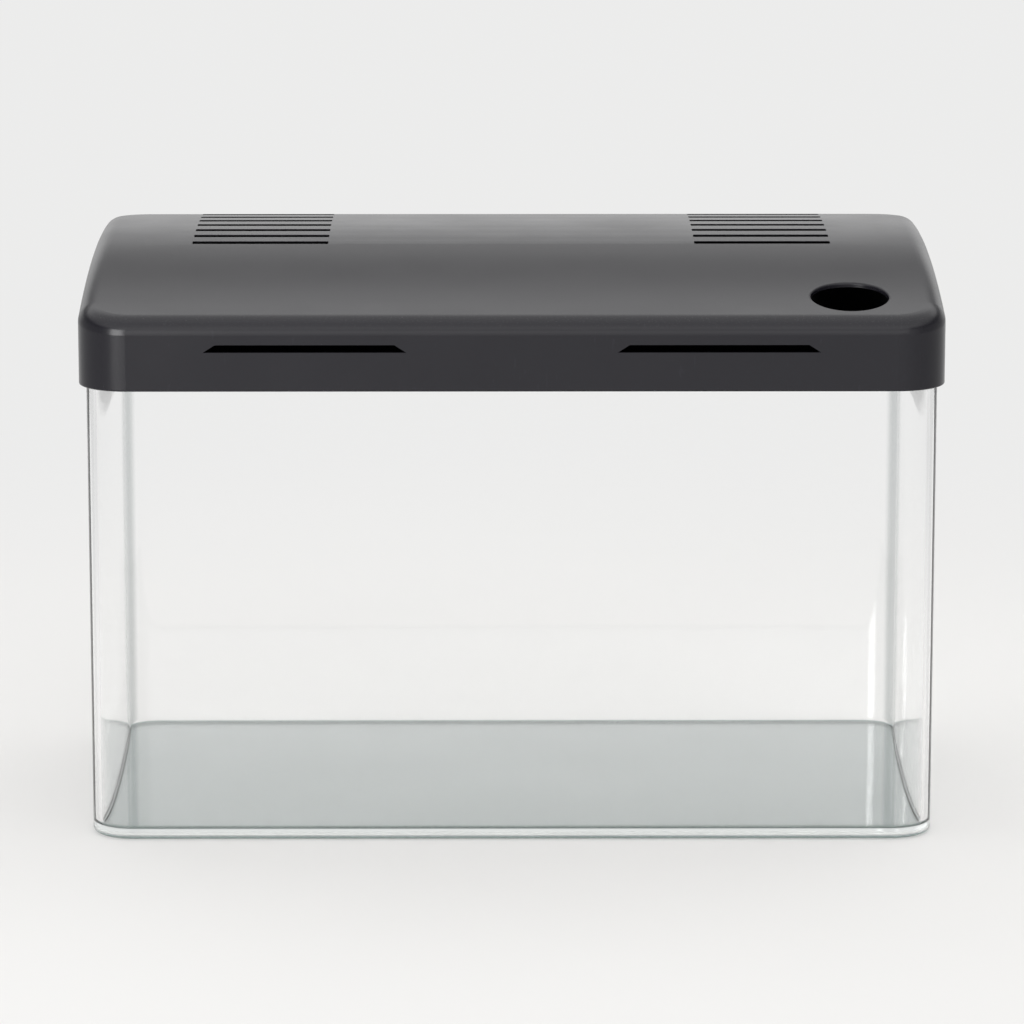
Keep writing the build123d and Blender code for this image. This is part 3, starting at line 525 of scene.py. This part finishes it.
def tank_glass():
    """Clear glass with a faint green body, long faint waves, and painted shade: a dark line along the foot
    and darker rear corners.
    """
    material, tree = new_material("tank_clear_glass")
    waves = noise(tree, 1.0, 1.0, 0.5, scaled(tree, (9.0, 9.0, 3.0)))
    normal = bump(tree, waves, distance=0.0003, strength=0.25)
    haze = spread(tree, noise(tree, 30.0, 4.0), 0.0, 0.012, 0.45, 0.8)
    y, z = axes(tree)[1:]
    facing = axes(tree, add(tree, "ShaderNodeNewGeometry").outputs["Normal"])
    low = opposite(tree, step_up(tree, z, place=FOOT_LINE, width=0.0005))
    foot_shade = calc(tree, "MULTIPLY", low, step_up(tree, facing[2], place=-0.95, width=0.04))
    rear = step_up(tree, y, place=TANK_HIGH.y - TANK_CORNER + 0.002, width=0.004)
    turned = step_up(tree, calc(tree, "ABSOLUTE", facing[0]), place=0.70, width=0.16)
    # Painted shade: darker glass in the rear corners and a dark line along the foot
    color = blend_colors(tree, calc(tree, "MULTIPLY", rear, turned), (1, 1, 1, 1), CORNER_PAINTED_SHADE)
    color = blend_colors(tree, foot_shade, color, FOOT_PAINTED_SHADE)
    glass = add(tree, "ShaderNodeBsdfPrincipled", {
        "Base Color": color, "Roughness": haze, "IOR": GLASS_IOR, "Transmission Weight": 1.0,
        "Normal": normal,
    })
    open_air = add(tree, "ShaderNodeBsdfTransparent", {"Color": GLASS_SHADOW})
    path = add(tree, "ShaderNodeLightPath")
    mixed = add(tree, "ShaderNodeMixShader", {
        0: path.outputs["Is Shadow Ray"], 1: glass.outputs[0], 2: open_air.outputs[0],
    })
    output = surface(tree, mixed.outputs[0])
    body = add(tree, "ShaderNodeVolumeAbsorption", {"Color": GLASS_BODY, "Density": GLASS_DENSITY})
    tree.links.new(body.outputs[0], output.inputs["Volume"])
    return material


def rounded_ring(length, depth, corner, height):
    """Points of an upright rounded rectangle at one height, counter-clockwise from above."""
    points = []
    reach_x, reach_y = length / 2 - corner, depth / 2 - corner
    for quarter, (sx, sy) in enumerate(((1, 1), (-1, 1), (-1, -1), (1, -1))):
        for step in range(CORNER_STEPS + 1):
            angle = math.radians(90) * (quarter + step / CORNER_STEPS)
            x = sx * reach_x + corner * math.cos(angle)
            y = sy * reach_y + corner * math.sin(angle)
            points.append((x, y, height))
    return points


def arc(centre_inset, centre_height, radius, start, end):
    """Steps along an arc in the wall's section, as insets from the outer face and heights."""
    steps = []
    for step in range(ROUND_STEPS + 1):
        angle = math.radians(start + (end - start) * step / ROUND_STEPS)
        inset = centre_inset + radius * math.cos(angle)
        steps.append((inset, centre_height + radius * math.sin(angle)))
    return steps


def tank_profile():
    """The wall's section from the middle of the underside, over the rim, to the floor inside."""
    top = TANK_HIGH.z
    profile = arc(FOOT_ROUND, FOOT_ROUND, FOOT_ROUND, 270, 180)
    rise = (top - RIM_ROUND - FOOT_ROUND) / SIDE_STEPS
    profile += [(0.0, FOOT_ROUND + rise * k) for k in range(1, SIDE_STEPS)]
    profile += arc(RIM_ROUND, top - RIM_ROUND, RIM_ROUND, 180, 90)
    profile += arc(TANK_WALL - RIM_ROUND, top - RIM_ROUND, RIM_ROUND, 90, 0)
    low = TANK_FLOOR + FLOOR_ROUND
    fall = (top - RIM_ROUND - low) / SIDE_STEPS
    profile += [(TANK_WALL, top - RIM_ROUND - fall * k) for k in range(1, SIDE_STEPS)]
    return profile + arc(TANK_WALL + FLOOR_ROUND, low, FLOOR_ROUND, 180, 270)


def make_tank():
    """The tank as one closed skin of even quads, fine enough for clean refraction."""
    mesh = bmesh.new()
    length = TANK_HIGH.x - TANK_LOW.x
    depth = TANK_HIGH.y - TANK_LOW.y
    rings = []
    for inset, height in tank_profile():
        corner = TANK_CORNER - inset
        points = rounded_ring(length - 2 * inset, depth - 2 * inset, corner, height)
        rings.append([mesh.verts.new(point) for point in points])
    for lower, upper in zip(rings, rings[1:]):
        count = len(lower)
        for k in range(count):
            following = (k + 1) % count
            mesh.faces.new((lower[k], lower[following], upper[following], upper[k]))
    mesh.faces.new(tuple(reversed(rings[0])))
    mesh.faces.new(tuple(rings[-1]))
    bmesh.ops.recalc_face_normals(mesh, faces=mesh.faces)
    data = bpy.data.meshes.new("tank_vessel")
    mesh.to_mesh(data)
    mesh.free()
    for face in data.polygons:
        face.use_smooth = len(face.vertices) == 4
    tank = bpy.data.objects.new("tank_vessel", data)
    bpy.context.scene.collection.objects.link(tank)
    data.materials.append(tank_glass())
    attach(tank, "tank")
    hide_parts("tank_shell")


def seen(tree):
    """One for rays from the camera and for mirrored or refracted ones, and zero for the rest."""
    path = add(tree, "ShaderNodeLightPath")
    total = path.outputs["Is Camera Ray"]
    for name in ("Is Glossy Ray", "Is Transmission Ray"):
        total = calc(tree, "MAXIMUM", total, path.outputs[name])
    return total


def floor_material():
    """Pale matt floor that turns into an even pale backdrop away from the model, greyer to the sides.

    A share of the backdrop's glow shows everywhere, which lightens the shadow under the tank.
    """
    material, tree = new_material("pale_floor")
    x, y = axes(tree)[:2]
    aside = calc(tree, "MULTIPLY_ADD", calc(tree, "ABSOLUTE", y), -SIDE_SPLAY, calc(tree, "ABSOLUTE", x))
    side = ramp_up(tree, aside, SIDE_START, SIDE_END)
    tone = mottled(tree, FLOOR_TONE, 3.0, 0.01)
    matt = add(tree, "ShaderNodeBsdfDiffuse", {"Color": blend_colors(tree, side, tone, SIDE_TONE)})
    glow_tone = blend_colors(tree, side, BACKDROP_TONE, SIDE_TONE)
    glow = add(tree, "ShaderNodeEmission", {"Color": glow_tone, "Strength": 1.0})
    away = add(tree, "ShaderNodeVectorMath", {0: metric(tree)}, operation="LENGTH").outputs["Value"]
    far = ramp_up(tree, away, FADE_START, FADE_END)
    glowing = calc(tree, "MULTIPLY_ADD", far, 1 - FLOOR_GLOW, FLOOR_GLOW)
    share = calc(tree, "MULTIPLY", glowing, seen(tree))
    mixed = add(tree, "ShaderNodeMixShader", {0: share, 1: matt.outputs[0], 2: glow.outputs[0]})
    surface(tree, mixed.outputs[0])
    return material


def make_stage():
    """The studio's floor, a hair below the tank."""
    half = FLOOR_SIZE / 2
    data = bpy.data.meshes.new("studio_floor")
    corners = [(x * half, y * half, -FLOOR_GAP) for x, y in ((-1, -1), (1, -1), (1, 1), (-1, 1))]
    data.from_pydata(corners, [], [(0, 1, 2, 3)])
    data.materials.append(floor_material())
    floor = bpy.data.objects.new("studio_floor", data)
    bpy.context.scene.collection.objects.link(floor)


def area_light(name, place, target, width, height, power):
    """A rectangular light that faces its target."""
    data = bpy.data.lights.new(name, "AREA")
    data.shape = "RECTANGLE"
    data.size, data.size_y = width, height
    data.energy = power
    lamp = bpy.data.objects.new(name, data)
    lamp.location = place
    lamp.rotation_euler = (Vector(target) - Vector(place)).to_track_quat("-Z", "Y").to_euler()
    bpy.context.scene.collection.objects.link(lamp)


def make_world():
    """A soft room whose brightness changes with the height above the horizon, and falls to its sides."""
    world = bpy.data.worlds.new("soft_room")
    bpy.context.scene.world = world
    world.use_nodes = True
    tree = world.node_tree
    tree.nodes.clear()
    direction = axes(tree, add(tree, "ShaderNodeTexCoord").outputs["Generated"])
    ramp = add(tree, "ShaderNodeValToRGB", {0: direction[2]})
    side = ramp_up(tree, calc(tree, "ABSOLUTE", direction[0]), ROOM_SIDE_FROM, ROOM_SIDE_TO)
    strength = calc(tree, "MULTIPLY_ADD", side, -ROOM_SIDE_LOSS * ROOM_LEVEL, ROOM_LEVEL)
    elements = ramp.color_ramp.elements
    while len(elements) < len(ROOM_STEPS):
        elements.new(1.0)
    for element, (place, level) in zip(elements, ROOM_STEPS):
        element.position = place
        element.color = (level / ROOM_LEVEL,) * 3 + (1,)
    background = add(tree, "ShaderNodeBackground", {"Color": ramp.outputs["Color"], "Strength": strength})
    tree.links.new(background.outputs[0], add(tree, "ShaderNodeOutputWorld").inputs["Surface"])


def make_lights():
    """A low window to the left and a wide soft light in front."""
    area_light("window_light", *WINDOW_LIGHT)
    area_light("front_light", *FRONT_LIGHT)


def make_camera():
    """The camera, where the photo was taken from."""
    data = bpy.data.cameras.new("camera")
    data.lens = CAMERA_LENS
    data.sensor_width = CAMERA_SENSOR
    data.clip_start, data.clip_end = CAMERA_CLIP
    camera = bpy.data.objects.new("camera", data)
    camera.location = CAMERA_PLACE
    camera.rotation_euler = (math.radians(90) - CAMERA_PITCH, 0, CAMERA_YAW)
    bpy.context.scene.collection.objects.link(camera)
    bpy.context.scene.camera = camera


def finishes():
    """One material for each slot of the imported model."""
    return {
        "hood_plastic": hood_plastic(),
        "clear_pad": silicone("clear_pad_silicone", (0.78, 0.80, 0.80)),
        "lamp_plastic": moulded_plastic("lamp_black_moulding", (0.030, 0.030, 0.032), roughness=0.46),
        "lamp_board_metal": circuit_board(
            "white_lamp_board", mask=(0.80, 0.80, 0.78), copper=(0.66, 0.64, 0.58, 1), pitch=0.0042),
        "led_face": led_faces(),
        "connector_plastic": nylon("connector_nylon", (0.72, 0.70, 0.62)),
        "black_rubber": rubber("black_rubber", (0.018, 0.018, 0.018)),
        "lens_clear": frosted_lens(),
        "screw_steel": metal("screw_steel", (0.60, 0.60, 0.59), roughness=0.28),
        "board_green": circuit_board(
            "green_driver_board", mask=(0.02, 0.13, 0.05), copper=(0.05, 0.26, 0.10, 1), pitch=0.0021),
        "capacitor_can": can_sleeve(),
        "inductor_copper": copper_winding(),
        "chip_black": chip_resin(),
        "terminal_green": nylon("terminal_green_nylon", (0.03, 0.26, 0.08)),
        "jack_plastic": nylon("jack_black_nylon", (0.018, 0.018, 0.019)),
        "contact_metal": metal(
            "plated_contact_metal", (0.78, 0.66, 0.42), roughness=0.26, brushing=(500.0, 40.0, 500.0)),
        "switch_plastic": nylon("switch_black_nylon", (0.014, 0.014, 0.015)),
        "spring_steel": metal(
            "spring_steel", (0.66, 0.66, 0.67), roughness=0.22, brushing=(700.0, 700.0, 700.0), tarnish=0.1),
        "sleeve_plastic": sleeve_plastic(),
        "red_wire": rubber("red_insulation", (0.42, 0.015, 0.012)),
        "black_wire": rubber("black_insulation", (0.016, 0.016, 0.017)),
    }


def dress_nodes():
    """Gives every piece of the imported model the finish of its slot."""
    looks = finishes()
    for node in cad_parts.values():
        slot = node.data.materials[0].name.split(".")[0]
        if slot in looks:
            node.data.materials[0] = looks[slot]


make_camera()
make_world()
make_lights()
make_stage()
dress_nodes()
make_tank()
bpy.context.scene.view_settings.view_transform = "Standard"
bpy.context.scene.cycles.max_bounces = MOST_BOUNCES
bpy.context.scene.cycles.glossy_bounces = GLOSSY_BOUNCES
bpy.context.scene.cycles.transmission_bounces = MOST_BOUNCES
